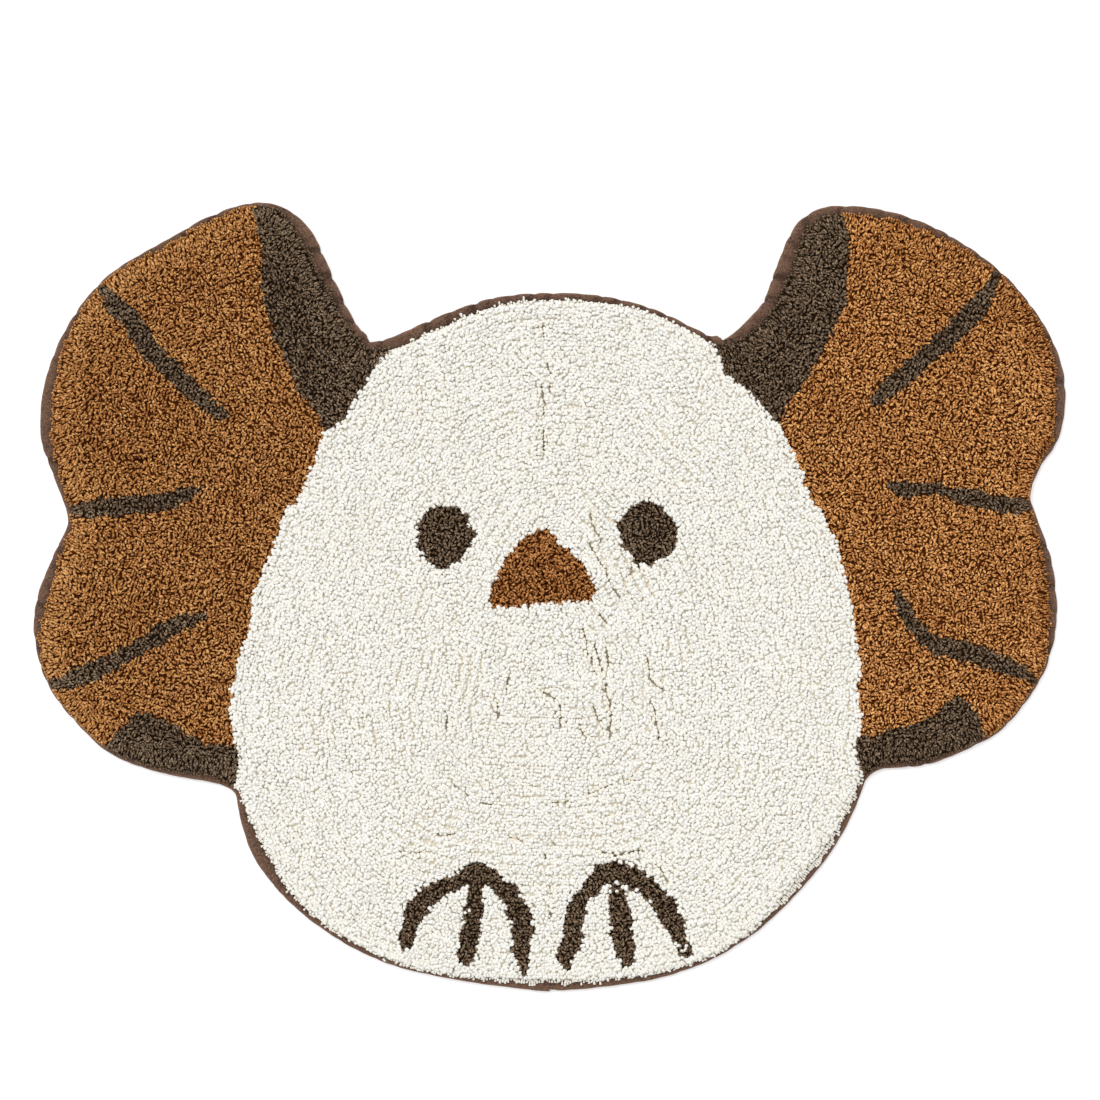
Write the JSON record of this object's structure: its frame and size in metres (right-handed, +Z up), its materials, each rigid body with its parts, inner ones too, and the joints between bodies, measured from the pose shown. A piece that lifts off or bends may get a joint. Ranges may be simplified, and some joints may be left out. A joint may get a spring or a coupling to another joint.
{
  "type": "animal shaped tufted kids rug",
  "caption": "Flat tufted rug in the outline of a small bird with its wings spread, with cut pile in white, ochre and brown and a brown tape folded round its edge.",
  "frame": {"origin": "middle of the rug's underside, on the surface it lies on", "axes": "+X across the wings, towards the wing on the right seen from above with the head away from the viewer; +Y from the feet towards the head; +Z up out of the pile"},
  "size_m": [1.0007, 0.764, 0.014],
  "materials": {
    "pile_white": "matte cut pile in off-white yarn, soft and slightly lumpy",
    "pile_ochre": "matte cut pile in ochre brown yarn, each yarn end a little lighter or darker",
    "pile_brown": "matte cut pile in dark grey brown yarn",
    "binding": "matte brown cotton tape in a fine twill weave",
    "backing": "plain beige cotton backing cloth"
  },
  "bodies": {
    "root": {"tufted_cloth": "pile_white", "edge_binding": "binding"}
  },
  "joints": []
}
